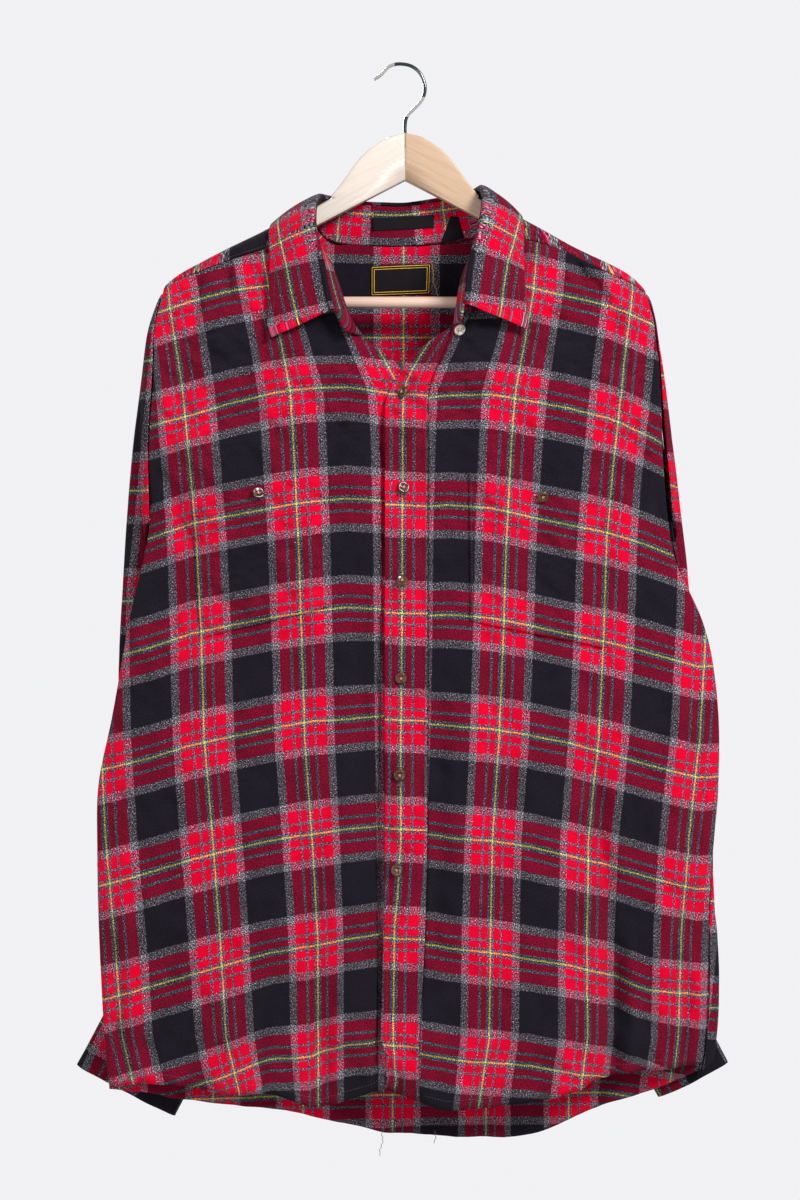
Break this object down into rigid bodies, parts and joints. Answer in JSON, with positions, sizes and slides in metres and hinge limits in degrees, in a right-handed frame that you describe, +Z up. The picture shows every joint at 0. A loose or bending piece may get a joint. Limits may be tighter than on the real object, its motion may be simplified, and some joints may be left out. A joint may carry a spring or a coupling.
{
  "type": "flannel shirt on a wooden hanger",
  "caption": "Long-sleeved plaid flannel shirt with a spread collar, chest pockets and a buttoned front, hanging on a contoured wooden hanger with a trouser bar and a wire hook",
  "frame": {"origin": "the inside top of the hanger's hook, where a rail or nail carries it", "axes": "+Z up; -Y the shirt's front; +X the wearer's left, which is the right-hand side seen from the front"},
  "size_m": [0.6269, 0.1106, 1.0331],
  "materials": {
    "flannel": "brushed cotton twill, black and red plaid with grey and yellow lines, soft nap",
    "horn": "mottled brown horn-look resin, polished, four holes",
    "woven_label": "bare black woven labels with a plain gold border",
    "hanger_wood": "pale lacquered hardwood with a fine straight grain",
    "bar_wood": "pinkish turned dowel, satin",
    "hook_steel": "bright plated wire"
  },
  "bodies": {
    "root": {"front_right": "flannel", "front_left": "flannel", "placket": "flannel", "back": "flannel", "yoke": "flannel", "collar_stand": "flannel", "collar_leaf": "flannel", "sleeve_right": "flannel", "sleeve_left": "flannel", "cuff_right": "flannel", "cuff_left": "flannel", "pocket_right": "flannel", "pocket_left": "flannel", "button_collar": "horn", "button_front_1": "horn", "button_front_2": "horn", "button_front_3": "horn", "button_front_4": "horn", "button_front_5": "horn", "button_front_6": "horn", "button_pocket_right": "horn", "button_pocket_left": "horn", "button_cuff_right": "horn", "button_cuff_left": "horn", "label_strip": "woven_label", "label_patch": "woven_label", "label_care": "woven_label", "hanger_arm_right": "hanger_wood", "hanger_arm_left": "hanger_wood", "hanger_bar": "bar_wood", "hanger_hook": "hook_steel"}
  },
  "joints": []
}
